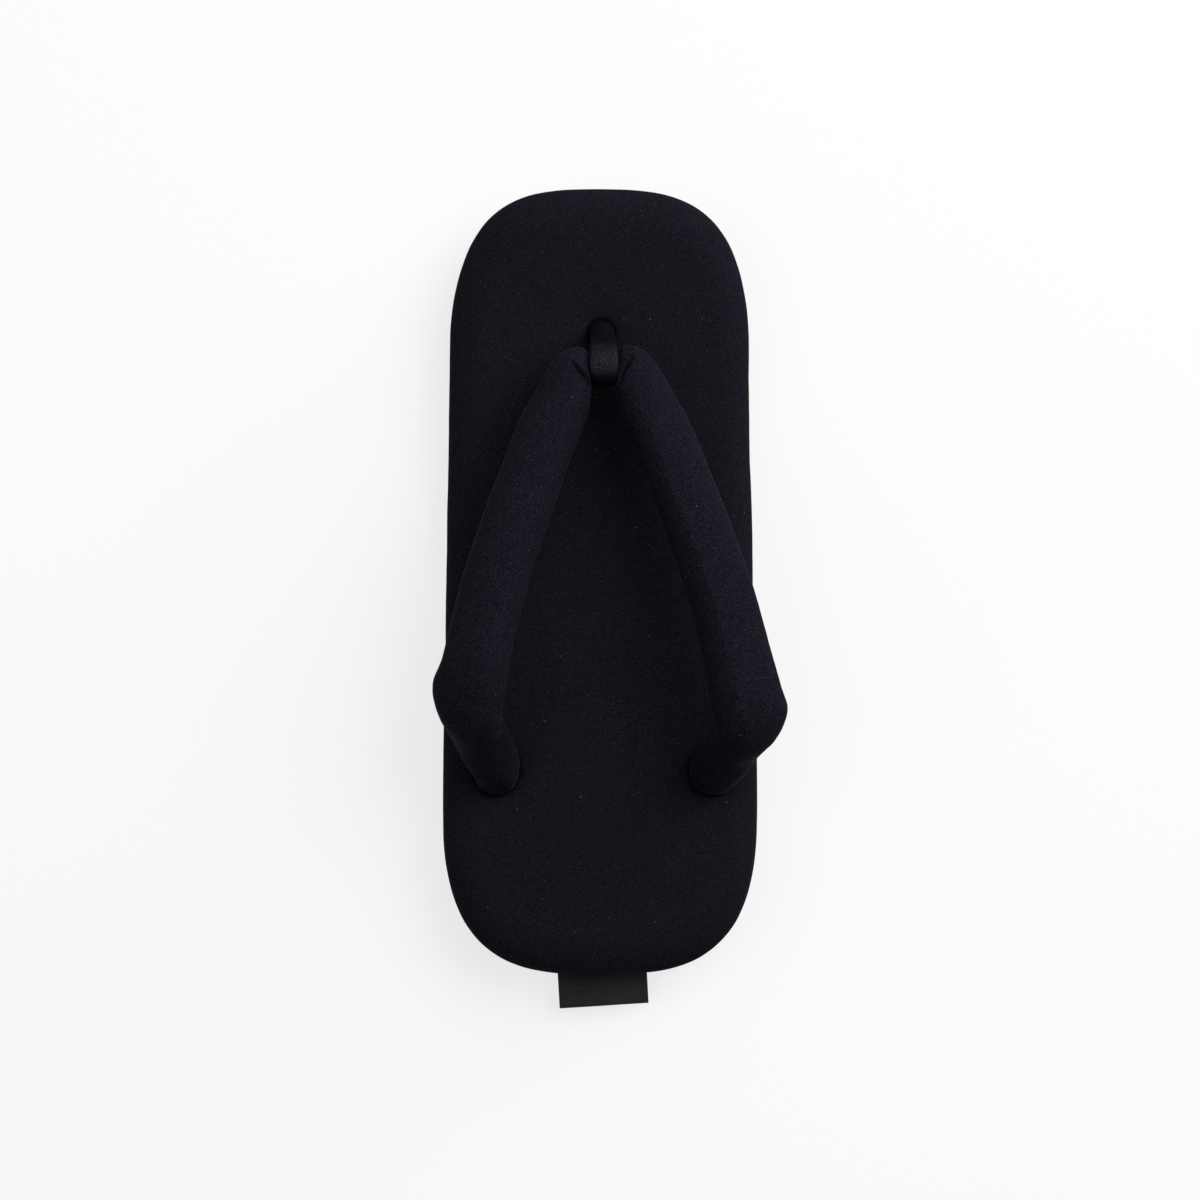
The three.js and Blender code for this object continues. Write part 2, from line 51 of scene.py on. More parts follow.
GAP = 0.3
LENGTH = 255.0
TOE_HALF_WIDTH, HEEL_HALF_WIDTH = 48.8, 51.2
TOE_END_DEPTH, HEEL_END_DEPTH = 61.8, 59.8
END_POWER = 3.0
TOE_Y = LENGTH / 2
TOE_END_Y = TOE_Y - TOE_END_DEPTH
HEEL_END_Y = -LENGTH / 2 + HEEL_END_DEPTH
PAD_THICKNESS, PAD_WIDEST_AT = 20.0, 9.5
PAD_TOP_EDGE, PAD_END_EDGE, PAD_END_FROM = 11.0, 16.0, 84.0
PAD_UNDER_EDGE, PAD_EDGE_POWER = 9.0, 2.15
PAD_CROWN = 1.0
SOLE_HEEL_THICKNESS, SOLE_FORE_THICKNESS = 11.0, 7.0
SOLE_WEDGE_FROM, SOLE_WEDGE_TO = -45.0, 40.0
SOLE_INSET, SOLE_EDGE_ROUND = 4.0, 1.4
TOE_SPRING, SPRING_FROM = 5.0, 62.0
STRAP_SECTION_POWER = 2.3
ARM_RIDGE, ARM_IN_POWER, ARM_OUT_POWER = -0.34, 1.55, 2.1
SLOT_Y, LEG_SPREAD = 80.1, 1.15
LOOP_FRONT_ANGLE, LOOP_REAR_ANGLE, LOOP_WRAP = 24.0, 232.0, 1.1
LABEL_WIDTH, LABEL_THICKNESS, LABEL_SHOWS, LABEL_HELD = 29.2, 1.2, 11.3, 8.0
LABEL_DROOP, LABEL_TURN, LABEL_X = 1.2, 3.4, 0.6

# Strap sections from the pinched middle outwards and down into the footbed, right arm:
# inner edge x, y, outer edge x, y, height above the footbed, half thickness, drop of the outer edge,
# share of the shoulder's set (outer edge), share of the arm's own section, share of the hole's place,
# share of the shoulder's sag.
STRAP_ROWS = np.array(
    [
        (0.0, 64.6, 0.0, 73.1, 16.5, 4.6, 0, 0, 0, 0, 0),  # neck
        (3.3, 64.5, 3.3, 73.1, 16.5, 4.6, 0, 0, 0, 0, 0),  # neck side
        (4.6, 63.4, 4.9, 73.3, 16.5, 4.7, 0, 0, 0, 0, 0),  # loop edge
        (4.8, 62.1, 6.8, 75.0, 16.4, 5.8, 0, -0.06, 0, 0, 0),  # corner 1
        (4.5, 61.0, 11.2, 74.4, 16.9, 6.8, 0, -0.06, 0.1, 0, 0),  # corner 2
        (4.2, 59.6, 15.6, 71.0, 17.8, 7.5, 0, -0.03, 0.3, 0, 0),  # corner 3
        (4.3, 57.4, 19.4, 64.8, 19.0, 8.0, 0, 0, 0.5, 0, 0),  # corner 4
        (5.4, 52.4, 23.4, 57.6, 20.8, 8.3, 0, 0, 0.8, 0, 0),  # arm start
        (8.5, 44.5, 26.9, 51.0, 23.0, 8.5, 0, 0, 1, 0, 0),  # arm 1
        (13.2, 31.6, 32.0, 38.2, 26.8, 8.5, 0.2, 0, 1, 0, 0),  # arm 2
        (19.8, 12.8, 39.2, 19.2, 31.4, 8.5, 0.5, 0.1, 1, 0, 0),  # arm 3
        (25.8, -5.9, 45.7, 0.3, 35.0, 8.6, 1, 0.3, 1, 0, 0),  # arm 4
        (30.0, -24.2, 50.9, -19.0, 37.4, 8.7, 1.8, 0.45, 1, 0, 0),  # arm 5
        (31.6, -33.4, 53.4, -28.0, 37.9, 8.9, 2.6, 0.8, 0.9, 0, 0.1),  # arm 6
        (32.9, -41.0, 54.6, -31.8, 37.2, 9.2, 3.4, 1, 0.95, 0, 0.5),  # shoulder 1
        (33.9, -45.4, 56.0, -35.6, 35.4, 9.5, 4, 1, 0.9, 0, 0.8),  # shoulder 2
        (34.5, -48.0, 54.7, -39.2, 32.6, 9.4, 4.2, 1, 0.75, 0, 1),  # shoulder 3
        (34.3, -49.6, 51.9, -42.8, 28.6, 9.0, 4, 0.9, 0.5, 0, 1),  # shoulder 4
        (33.0, -52.2, 49.0, -47.8, 21.0, 8.6, 4.6, 0.74, 0.2, 0.1, 0.6),  # return 1
        (31.0, -55.4, 46.6, -54.8, 12.4, 8.4, 4.0, 0.56, 0, 0.5, 0.1),  # return 2
        (28.6, -58.8, 43.9, -60.2, 4.4, 8.2, 2.0, 0.3, 0, 1, 0),  # foot
        (28.5, -60.8, 42.8, -61.4, -1.6, 7.4, 0, 0, 0, 1, 0),  # mouth
        (29.8, -61.2, 40.2, -61.2, -7.0, 5.2, 0, 0, 0, 1, 0),  # throat
        (30.4, -61.2, 39.6, -61.2, -12.0, 4.6, 0, 0, 0, 1, 0),  # tail
        (30.4, -61.2, 39.6, -61.2, -19.2, 4.6, 0, 0, 0, 1, 0),  # tail end
    ]
)
# side: how far the shoulder's outer corner stands out and back, how much of the drop it has, how far in its hole is,
# and how much sooner it turns down
STRAP_SET = {-1: (-3.1, -6.2, 1.6, 1.9, 3.2), 1: (0.5, 2.9, 0.6, 0.0, -1.0)}


# ------------------------------------------------------------------ shared functions
def smooth(x, a, b):
    t = np.clip((np.asarray(x, float) - a) / (b - a), 0, 1)
    return t * t * (3 - 2 * t)


def spow(v, p):
    return np.sign(v) * np.abs(v) ** p


def mix(a, b, t):
    return a + (b - a) * t


def lift(y):
    t = np.clip((np.asarray(y, float) - SPRING_FROM) / (TOE_Y - SPRING_FROM), 0, 1)
    return TOE_SPRING * t * t


def sole_top(y):
    return lift(y) + mix(SOLE_HEEL_THICKNESS, SOLE_FORE_THICKNESS, smooth(y, SOLE_WEDGE_FROM, SOLE_WEDGE_TO))


def pad_base(y):
    return sole_top(y) + GAP


def pad_top(y):
    return pad_base(y) + PAD_THICKNESS


def outline(count):
    """Even points round the footbed's outline, clockwise from the toe tip, and the outward normals there."""
    a = np.linspace(math.pi / 2, 0, 900)
    c, s = np.clip(np.cos(a), 0, 1) ** (2 / END_POWER), np.sin(a) ** (2 / END_POWER)
    toe = np.stack([TOE_HALF_WIDTH * c, TOE_END_Y + TOE_END_DEPTH * s], 1)
    t = np.linspace(0, 1, 600)[1:-1]
    side = np.stack([mix(TOE_HALF_WIDTH, HEEL_HALF_WIDTH, t), mix(TOE_END_Y, HEEL_END_Y, t)], 1)
    heel = np.stack([HEEL_HALF_WIDTH * c, HEEL_END_Y - HEEL_END_DEPTH * s], 1)[::-1]
    half = np.concatenate([toe, side, heel])
    whole = np.concatenate([half, half[-2:0:-1] * [-1, 1]])
    ring = np.concatenate([whole, whole[:1]])
    run = np.concatenate([[0], np.cumsum(np.linalg.norm(np.diff(ring, axis=0), axis=1))])
    at = np.linspace(0, run[-1], count, endpoint=False)
    p = np.stack([np.interp(at, run, ring[:, k]) for k in range(2)], 1)
    d = np.roll(p, -2, 0) - np.roll(p, 2, 0)
    d /= np.linalg.norm(d, axis=1)[:, None]
    return p, np.stack([-d[:, 1], d[:, 0]], 1)


def wave(p, seed, size):
    """A smooth, repeatable wobble from -1 to 1 over points in mm."""
    r = np.random.default_rng(seed)
    total = np.zeros(len(p))
    for _ in range(9):
        k = r.normal(size=3)
        k *= 2 * math.pi / (size * r.uniform(0.7, 1.6)) / np.linalg.norm(k)
        total += np.sin(p @ k + r.uniform(0, 6.28))
    return total / 4.5


def mesh_piece(name, points_mm, faces, material, node=None):
    m = bpy.data.meshes.new(name)
    m.from_pydata((np.asarray(points_mm) * MM + HOME).tolist(), [], [list(map(int, f)) for f in faces])
    m.validate()
    m.polygons.foreach_set("use_smooth", [True] * len(m.polygons))
    o = bpy.data.objects.new(name, m)
    bpy.context.scene.collection.objects.link(o)
    m.materials.append(material)
    if node:
        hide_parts(node)
    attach(o, "root")
    return o


def ring_faces(rings, sides, first=0, closed=True):
    """Quads between neighbouring rings of a tube."""
    i, j = np.meshgrid(np.arange(rings - 1), np.arange(sides if closed else sides - 1), indexing="ij")
    k = (j + 1) % sides
    return np.stack([first + i * sides + j, first + i * sides + k, first + (i + 1) * sides + k, first + (i + 1) * sides + j], -1).reshape(-1, 4).tolist()


def troughs(points, normals, lines, weights=None):
    """Soft creases: each line is rows of (x, y, z, depth, width) in mm. Points near it sink, with a small swell beside it."""
    move = np.zeros(len(points))
    for line in lines:
        line = np.asarray(line, float)
        best = np.full(len(points), np.inf)
        depth, width = np.zeros(len(points)), np.ones(len(points))
        for a, b in zip(line[:-1], line[1:]):
            d = b[:3] - a[:3]
            t = np.clip(((points - a[:3]) @ d) / (d @ d), 0, 1)
            away = np.linalg.norm(points - a[:3] - t[:, None] * d, axis=1)
            near = away < best
            best = np.where(near, away, best)
            depth = np.where(near, mix(a[3], b[3], t), depth)
            width = np.where(near, mix(a[4], b[4], t), width)
        u = best / width
        move += -depth * np.exp(-u * u) + 0.12 * depth * np.exp(-((u - 2.2) ** 2) / 0.9)
    return points + normals * move[:, None]


# ------------------------------------------------------------------ materials
def nodes_of(name):
    m = bpy.data.materials.new(name)
    m.use_nodes = True
    nt = m.node_tree
    nt.nodes.clear()
    out = nt.nodes.new("ShaderNodeOutputMaterial")
    bsdf = nt.nodes.new("ShaderNodeBsdfPrincipled")
    nt.links.new(bsdf.outputs["BSDF"], out.inputs["Surface"])
    coord = nt.nodes.new("ShaderNodeTexCoord")
    return m, nt, bsdf, coord


def noise(nt, coord, scale, detail=2.0, rough=0.5, stretch=None):
    n = nt.nodes.new("ShaderNodeTexNoise")
    n.inputs["Scale"].default_value = scale
    n.inputs["Detail"].default_value = detail
    n.inputs["Roughness"].default_value = rough
    if stretch:
        s = nt.nodes.new("ShaderNodeMapping")
        s.inputs["Scale"].default_value = stretch
        nt.links.new(coord.outputs["Object"], s.inputs["Vector"])
        nt.links.new(s.outputs["Vector"], n.inputs["Vector"])
    else:
        nt.links.new(coord.outputs["Object"], n.inputs["Vector"])
    return n.outputs["Fac"]


def ramp(nt, fac, stops):
    r = nt.nodes.new("ShaderNodeValToRGB")
    e = r.color_ramp.elements
    while len(e) < len(stops):
        e.new(0.5)
    for el, (pos, col) in zip(e, stops):
        el.position = pos
        el.color = (*col, 1) if len(col) == 3 else col
    nt.links.new(fac, r.inputs["Fac"])
    return r.outputs["Color"]


def blend(nt, fac, a, b, kind="MIX"):
    n = nt.nodes.new("ShaderNodeMix")
    n.data_type = "RGBA"
    n.blend_type = kind
    if isinstance(fac, float):
        n.inputs["Factor"].default_value = fac
    else:
        nt.links.new(fac, n.inputs["Factor"])
    for name, v in (("A", a), ("B", b)):
        sock = [s for s in n.inputs if s.name == name and s.type == "RGBA"][0]
        if isinstance(v, tuple):
            sock.default_value = (*v, 1)
        else:
            nt.links.new(v, sock)
    return [s for s in n.outputs if s.type == "RGBA"][0]


def math_node(nt, op, a, b=None):
    n = nt.nodes.new("ShaderNodeMath")
    n.operation = op
    for i, v in enumerate((a, b)):
        if v is None:
            continue
        if isinstance(v, (int, float)):
            n.inputs[i].default_value = v
        else:
            nt.links.new(v, n.inputs[i])
    return n.outputs[0]


def bump(nt, bsdf, layers):
    """layers: (height output, distance in metres, strength), the last one on top."""
    last = None
    for height, dist, strength in layers:
        b = nt.nodes.new("ShaderNodeBump")
        b.inputs["Strength"].default_value = strength
        b.inputs["Distance"].default_value = dist
        nt.links.new(height, b.inputs["Height"])
        if last:
            nt.links.new(last, b.inputs["Normal"])
        last = b.outputs["Normal"]
    nt.links.new(last, bsdf.inputs["Normal"])


def lint(nt, coord, size, reach, seed):
    """Sparse pale specks: 1 on a speck and 0 elsewhere."""
    s = nt.nodes.new("ShaderNodeMapping")
    s.inputs["Location"].default_value = (seed, seed * 0.37, seed * 0.71)
    nt.links.new(coord.outputs["Object"], s.inputs["Vector"])
    v = nt.nodes.new("ShaderNodeTexVoronoi")
    v.inputs["Scale"].default_value = 1 / size
    nt.links.new(s.outputs["Vector"], v.inputs["Vector"])
    return math_node(nt, "LESS_THAN", v.outputs["Distance"], reach / size)


def knit(name, dark, light, sheen, grit):
    """Dense smooth knit, matte and nearly black, with a short nap and stray lint; grit: how strongly its grain shows."""
    m, nt, bsdf, coord = nodes_of(name)
    broad = noise(nt, coord, 30.0, 3.0, 0.55)
    fine = noise(nt, coord, 2500.0, 2.0, 0.7)
    grain = noise(nt, coord, 1300.0, 2.0, 0.6)
    low, high = tuple(c * mix(0.68, 0.42, grit) for c in dark), tuple(c * mix(2.0, 2.55, grit) for c in light)
    base = ramp(nt, fine, [(0.43, low), (mix(0.72, 0.71, grit), high)])
    base = blend(nt, 0.3, base, ramp(nt, grain, [(0.3, tuple(c * 0.8 for c in dark)), (0.7, tuple(c * 1.1 for c in light))]))
    base = blend(nt, 0.1, base, ramp(nt, broad, [(0.35, dark), (0.68, light)]))
    dust = lint(nt, coord, 0.0011, 0.00014, 0.9)
    speck = lint(nt, coord, 0.0030, 0.00015, 0.3)
    fluff = lint(nt, coord, 0.0062, 0.00017, 1.7)
    base = blend(nt, dust, base, (0.026, 0.0266, 0.033))
    base = blend(nt, speck, base, (0.046, 0.047, 0.055))
    base = blend(nt, fluff, base, (0.110, 0.111, 0.120))
    nt.links.new(base, bsdf.inputs["Base Color"])
    rough = ramp(nt, broad, [(0.3, (0.9,) * 3), (0.7, (0.98,) * 3)])
    nt.links.new(rough, bsdf.inputs["Roughness"])
    bsdf.inputs["Specular IOR Level"].default_value = 0.02
    bsdf.inputs["Sheen Weight"].default_value = sheen
    bsdf.inputs["Sheen Roughness"].default_value = 0.25
    bsdf.inputs["Sheen Tint"].default_value = (0.78, 0.80, 1.0, 1)
    loops = nt.nodes.new("ShaderNodeTexVoronoi")
    loops.inputs["Scale"].default_value = 1900.0
    nt.links.new(coord.outputs["Object"], loops.inputs["Vector"])
    bump(nt, bsdf, [(grain, 0.00012, mix(0.4, 0.6, grit)), (loops.outputs["Distance"], 0.00012, 0.6), (fine, 0.0001, 0.5)])
    return m


def nap_band(name):
    """Black velvet band, with a painted highlight where it is drawn over the strap's top, painted shade down its legs
    and behind the strap, and painted glints in its fibres.
    """
    m, nt, bsdf, coord = nodes_of(name)
    fine = noise(nt, coord, 2300.0, 2.0, 0.65)
    tuft = noise(nt, coord, 900.0, 3.0, 0.6)
    xyz = nt.nodes.new("ShaderNodeSeparateXYZ")
    nt.links.new(coord.outputs["Object"], xyz.inputs["Vector"])
    way = nt.nodes.new("ShaderNodeMapRange")  # 0 behind the strap, 1 at the front of the front leg
    way.inputs["From Min"].default_value = 60.0 * MM + HOME[1]
    way.inputs["From Max"].default_value = 86.0 * MM + HOME[1]
    nt.links.new(xyz.outputs["Y"], way.inputs["Value"])
    # painted light: paler over the strap's top as a painted highlight, darker down the legs and behind the strap as
    # painted shade
    painted_light = ramp(nt, way.outputs["Result"], [((y - 60.0) / 26.0, (v, v, v)) for y, v in LOOP_PAINTED_LIGHT])
    base = ramp(nt, fine, [(0.36, (0.0032, 0.0033, 0.0046)), (0.66, (0.0295, 0.0302, 0.0420))])
    base = blend(nt, 0.35, base, ramp(nt, tuft, [(0.34, (0.0045, 0.0046, 0.0064)), (0.68, (0.0205, 0.0210, 0.0295))]))
    # pale specks on the band: painted glints in its fibres
    base = blend(nt, lint(nt, coord, 0.0009, 0.00013, 0.5), base, (0.085, 0.087, 0.105))
    base = blend(nt, 1.0, base, painted_light, "MULTIPLY")
    nt.links.new(base, bsdf.inputs["Base Color"])
    nt.links.new(ramp(nt, tuft, [(0.3, (0.6,) * 3), (0.7, (0.78,) * 3)]), bsdf.inputs["Roughness"])
    bsdf.inputs["Specular IOR Level"].default_value = 0.02
    bsdf.inputs["Sheen Weight"].default_value = 0.004
    bsdf.inputs["Sheen Roughness"].default_value = 0.4
    bump(nt, bsdf, [(tuft, 0.0002, 0.5), (fine, 0.00012, 0.6)])
    return m


def ribbon(name):
    """Charcoal satin ribbon with fine cross ribs."""
    m, nt, bsdf, coord = nodes_of(name)
    w = nt.nodes.new("ShaderNodeTexWave")
    w.wave_type = "BANDS"
    w.bands_direction = "Y"
    w.inputs["Scale"].default_value = 420.0
    w.inputs["Distortion"].default_value = 0.6
    w.inputs["Detail"].default_value = 1.0
    nt.links.new(coord.outputs["Object"], w.inputs["Vector"])
    warp = noise(nt, coord, 900.0, 2.0, 0.6, (6.0, 1.0, 1.0))
    tone = noise(nt, coord, 90.0, 2.0, 0.5)
    base = ramp(nt, warp, [(0.3, (0.0148, 0.0150, 0.0148)), (0.7, (0.0285, 0.0290, 0.0285))])
    base = blend(nt, 0.4, base, ramp(nt, tone, [(0.35, (0.0146, 0.0148, 0.0146)), (0.7, (0.0292, 0.0297, 0.0292))]))
    base = blend(nt, lint(nt, coord, 0.0034, 0.00014, 0.2), base, (0.08, 0.08, 0.08))
    nt.links.new(base, bsdf.inputs["Base Color"])
    nt.links.new(ramp(nt, warp, [(0.3, (0.42,) * 3), (0.7, (0.6,) * 3)]), bsdf.inputs["Roughness"])
    bsdf.inputs["Specular IOR Level"].default_value = 0.08
    bsdf.inputs["Sheen Weight"].default_value = 0.02
    bump(nt, bsdf, [(w.outputs["Fac"], 0.0002, 0.5), (warp, 0.00012, 0.5)])
    return m


def sponge(name):
    """Black rubber sponge: fine pores, its tone paler and darker at random."""
    m, nt, bsdf, coord = nodes_of(name)
    pores = nt.nodes.new("ShaderNodeTexVoronoi")
    pores.inputs["Scale"].default_value = 900.0
    nt.links.new(coord.outputs["Object"], pores.inputs["Vector"])
    tone = noise(nt, coord, 60.0, 3.0, 0.6)
    fine = noise(nt, coord, 700.0, 2.0, 0.6)
    base = ramp(nt, tone, [(0.3, (0.0085, 0.0085, 0.009)), (0.7, (0.017, 0.017, 0.0175))])
    base = blend(nt, 0.4, base, ramp(nt, fine, [(0.3, (0.007, 0.007, 0.0075)), (0.75, (0.020, 0.020, 0.0205))]))
    nt.links.new(base, bsdf.inputs["Base Color"])
    nt.links.new(ramp(nt, fine, [(0.3, (0.66,) * 3), (0.7, (0.85,) * 3)]), bsdf.inputs["Roughness"])
    bsdf.inputs["Specular IOR Level"].default_value = 0.25
    bump(nt, bsdf, [(pores.outputs["Distance"], 0.0003, 0.5), (fine, 0.00015, 0.4)])
    return m


# painted highlight and shade on the loop along the sandal: how pale it is (y in mm, share)
LOOP_PAINTED_LIGHT = [(60.0, 0.12), (63.0, 0.14), (65.0, 0.32), (67.2, 0.80), (69.6, 0.92), (72.5, 0.60), (75.4, 0.36), (76.2, 0.20), (84.0, 0.18)]
FOOTBED_MAT = knit("footbed_knit", (0.0051, 0.0053, 0.0079), (0.0089, 0.0093, 0.0139), 0.004, 0.2)
STRAP_MAT = knit("strap_knit", (0.0045, 0.0047, 0.0074), (0.0081, 0.0084, 0.0131), 0.024, 1.3)
LOOP_MAT = nap_band("loop_nap")
LABEL_MAT = ribbon("label_ribbon")
SOLE_MAT = sponge("sole_sponge")


# ------------------------------------------------------------------ strap
def spline(values, steps):
    """Uniform Catmull-Rom through rows of values, `steps` points to a row."""
    n = len(values) - 1
    t = np.linspace(0, n, n * steps + 1)
    i = np.minimum(t.astype(int), n - 1)
    w = (t - i)[:, None]
    p0, p1, p2, p3 = (values[np.clip(i + k, 0, n)] for k in (-1, 0, 1, 2))
    v0, v1 = (p2 - p0) / 2, (p3 - p1) / 2
    return (2 * p1 - 2 * p2 + v0 + v1) * w**3 + (-3 * p1 + 3 * p2 - 2 * v0 - v1) * w**2 + v0 * w + p1


def strap_stations(steps):
    arms = {}
    for side, (out, back, share, hole, low) in STRAP_SET.items():
        in_x, in_y, out_x, out_y, up, half_t, drop, lead, arm, hold, sag = STRAP_ROWS.T
        z = pad_top(out_y) + up - low * sag
        arms[side] = np.stack(
            [
                side * (in_x - hole * hold),
                in_y,
                z + share * drop / 2,
                side * (out_x + out * lead - hole * hold),
                out_y - back * lead,
                z - share * drop / 2,
                half_t,
                ARM_RIDGE * arm,
                mix(STRAP_SECTION_POWER, ARM_IN_POWER, arm),
                mix(STRAP_SECTION_POWER, ARM_OUT_POWER, arm),
            ],
            1,
        )
    return spline(np.concatenate([arms[-1][:0:-1], arms[1]]), steps)


def strap_surface(steps, sides):
    st = strap_stations(steps)
    inner, outer = st[:, 0:3], st[:, 3:6]
    centre = (inner + outer) / 2
    across = outer - inner
    half_w = np.linalg.norm(across, axis=1) / 2
    across = across / (2 * half_w[:, None])
    along = np.gradient(centre, axis=0)
    along /= np.linalg.norm(along, axis=1)[:, None]
    up = np.cross(along, across)
    up /= np.linalg.norm(up, axis=1)[:, None]
    a = np.linspace(0, 2 * math.pi, sides, endpoint=False)
    c, s = np.cos(a)[None], np.sin(a)[None]
    c = np.where(np.abs(c) < 1e-9, 0, c)
    e = 2 / np.where(c > 0, st[:, 9:10], st[:, 8:9])
    ridge = np.where(s > 0, st[:, 7:8], 0)  # only the top leans
    share = ridge + (1 - np.sign(c) * ridge) * spow(c, e)
    return (
        centre[:, None]
        + across[:, None] * (half_w[:, None] * share)[..., None]
        + up[:, None] * (st[:, 6:7] * spow(s, e))[..., None]
    )


def surface_normals(rings):
    du = np.gradient(rings, axis=0)
    dv = np.roll(rings, -1, 1) - np.roll(rings, 1, 1)
    n = np.cross(dv, du)
    n /= np.maximum(np.linalg.norm(n, axis=2), 1e-9)[..., None]
    return n


STRAP_STEPS, STRAP_SIDES = 12, 120
rings = strap_surface(STRAP_STEPS, STRAP_SIDES)
normals = surface_normals(rings)
count = len(rings)
mid = count // 2


def on_top(x, y):
    """The point on the strap's upper side over a place in plan."""
    p, up = rings.reshape(-1, 3), normals.reshape(-1, 3)[:, 2] > 0.05
    near = np.argsort(np.hypot(p[:, 0] - x, p[:, 1] - y) + np.where(up, 0, 1e3))[:6]
    return p[near[np.argmax(p[near, 2])]]


def crease(stops):
    """stops: (x, y, depth, width) in plan."""
    return [(*on_top(x, y), d, w) for x, y, d, w in stops]


CREASES = [
    # where each arm turns at the loop, the inside of the bend folds
    crease([(-4.8, 62.2, 2.8, 0.6), (-5.6, 64.4, 2.8, 0.6), (-7.6, 67.0, 2.5, 0.6), (-10.1, 69.9, 0.8, 0.5)]),
    crease([(4.9, 62.8, 3.0, 0.65), (5.6, 66.0, 3.0, 0.65), (7.1, 69.0, 2.8, 0.65), (8.8, 71.7, 1.2, 0.5)]),
    # and where the left shoulder turns down, at its inner corner
    crease([(-32.2, -45.4, 2.1, 0.9), (-33.8, -46.7, 1.7, 0.95), (-35.8, -48.0, 0.9, 1.1), (-38.4, -49.0, 0.05, 1.4)]),
]
pts = rings.reshape(-1, 3)
pts = troughs(pts, normals.reshape(-1, 3), CREASES)
pts = pts + normals.reshape(-1, 3) * (0.16 * wave(pts, 4, 17.0) + 0.05 * wave(pts, 5, 5.0))[:, None]
faces = ring_faces(count, STRAP_SIDES)
faces.append(list(range(STRAP_SIDES))[::-1])
faces.append([(count - 1) * STRAP_SIDES + k for k in range(STRAP_SIDES)])
strap = mesh_piece("hanao_strap", pts, faces, STRAP_MAT, "hanao")

# ------------------------------------------------------------------ footbed
RIM, TOP_STEPS, IN_STEPS, UNDER_STEPS, BASE_STEPS = 480, 16, 42, 12, 10
edge, out = outline(RIM)
e = 2 / PAD_EDGE_POWER
HOLES = [  # x, y, half width, half length, lip depth, lip reach, bottom
    (35.65, -61.2, 7.5, 8.2, 1.3, 1.5, 18.0),
    (-33.75, -61.2, 7.5, 8.2, 1.3, 1.5, 18.0),
    (0.0, 80.1, 4.55, 4.75, 1.5, 1.5, 18.0),
]


def top_edge(y):
    """How far in the rounded edge reaches on top."""
    return mix(PAD_TOP_EDGE, PAD_END_EDGE, smooth(np.abs(y), PAD_END_FROM, LENGTH / 2))


def inset_of(p):
    """Distance from the outline, and the rounded edge's reach there."""
    best = np.full(len(p), np.inf)
    reach = np.zeros(len(p))
    for k in range(0, len(p), 2000):
        d = np.linalg.norm(p[k : k + 2000, None] - edge[None], axis=2)
        i = d.argmin(1)
        best[k : k + 2000] = d[np.arange(len(d)), i]
        reach[k : k + 2000] = top_edge(edge[i, 1])
    return best, reach


def gather(p):
    """Moves the top's points so that they crowd round the rim of each hole."""
    keep = smooth(inset_of(p)[0], 1.5, 6.0)[:, None]
    start = p
    for x, y, rx, ry, *_ in HOLES:
        d = (p - [x, y]) / [rx, ry]
        r = np.linalg.norm(d, axis=1)
        dst = np.linspace(0, 2.6, 400)
        src = np.cumsum(1 + 3.2 * np.exp(-(((dst - 1.12) / 0.24) ** 2)))
        src = (src - src[0]) / (src[-1] - src[0]) * 2.6
        new = np.where(r < 2.6, np.interp(r, src, dst), r)
        p = [x, y] + d * (new / np.maximum(r, 1e-9))[:, None] * [rx, ry]
    return mix(start, p, keep)


def sink(p):
    """How far the top goes down at each hole."""
    z = np.zeros(len(p))
    for x, y, rx, ry, lip, reach, bottom in HOLES:
        r = np.linalg.norm((p - [x, y]) / [rx, ry], axis=1)
        s = (r - 1) * (rx + ry) / 2
        z -= np.where(s > 0, lip * np.exp(-np.maximum(s, 0) / reach), lip)
        z -= 0.7 * np.exp(-((np.maximum(s, 0) / 11.0) ** 2))
        z -= (bottom - lip - 0.7) * smooth(-s, 0.05, 1.3)
    return z


def top_height(p):
    """The footbed's upper side at a place in plan, in from its widest line."""
    inset, reach = inset_of(p)
    u = np.clip(1 - inset / reach, 0, 1)
    h = PAD_WIDEST_AT + (PAD_THICKNESS - PAD_WIDEST_AT) * (1 - u**PAD_EDGE_POWER) ** (1 / PAD_EDGE_POWER)
    return pad_base(p[:, 1]) + h + PAD_CROWN * smooth(inset - reach, 0, 26) + sink(p) * smooth(inset, 0, 5)


layers = []
reach = top_edge(edge[:, 1])[:, None]
for i in range(TOP_STEPS):
    a = math.pi / 2 * i / TOP_STEPS
    p = gather(edge - out * reach * (1 - spow(math.sin(a), e)))
    layers.append(np.column_stack([p, top_height(p)]))
layers.append(np.column_stack([edge, pad_base(edge[:, 1]) + PAD_WIDEST_AT]))
for i in range(1, UNDER_STEPS + 1):
    a = math.pi / 2 * i / UNDER_STEPS
    p = edge - out * PAD_UNDER_EDGE * (1 - spow(max(math.cos(a), 0), e))
    layers.append(np.column_stack([p, pad_base(p[:, 1]) + PAD_WIDEST_AT * (1 - spow(math.sin(a), e))]))


def spine(p):
    return np.stack([np.zeros(len(p)), np.clip(p[:, 1], HEEL_END_Y + 22, TOE_END_Y - 20)], 1)


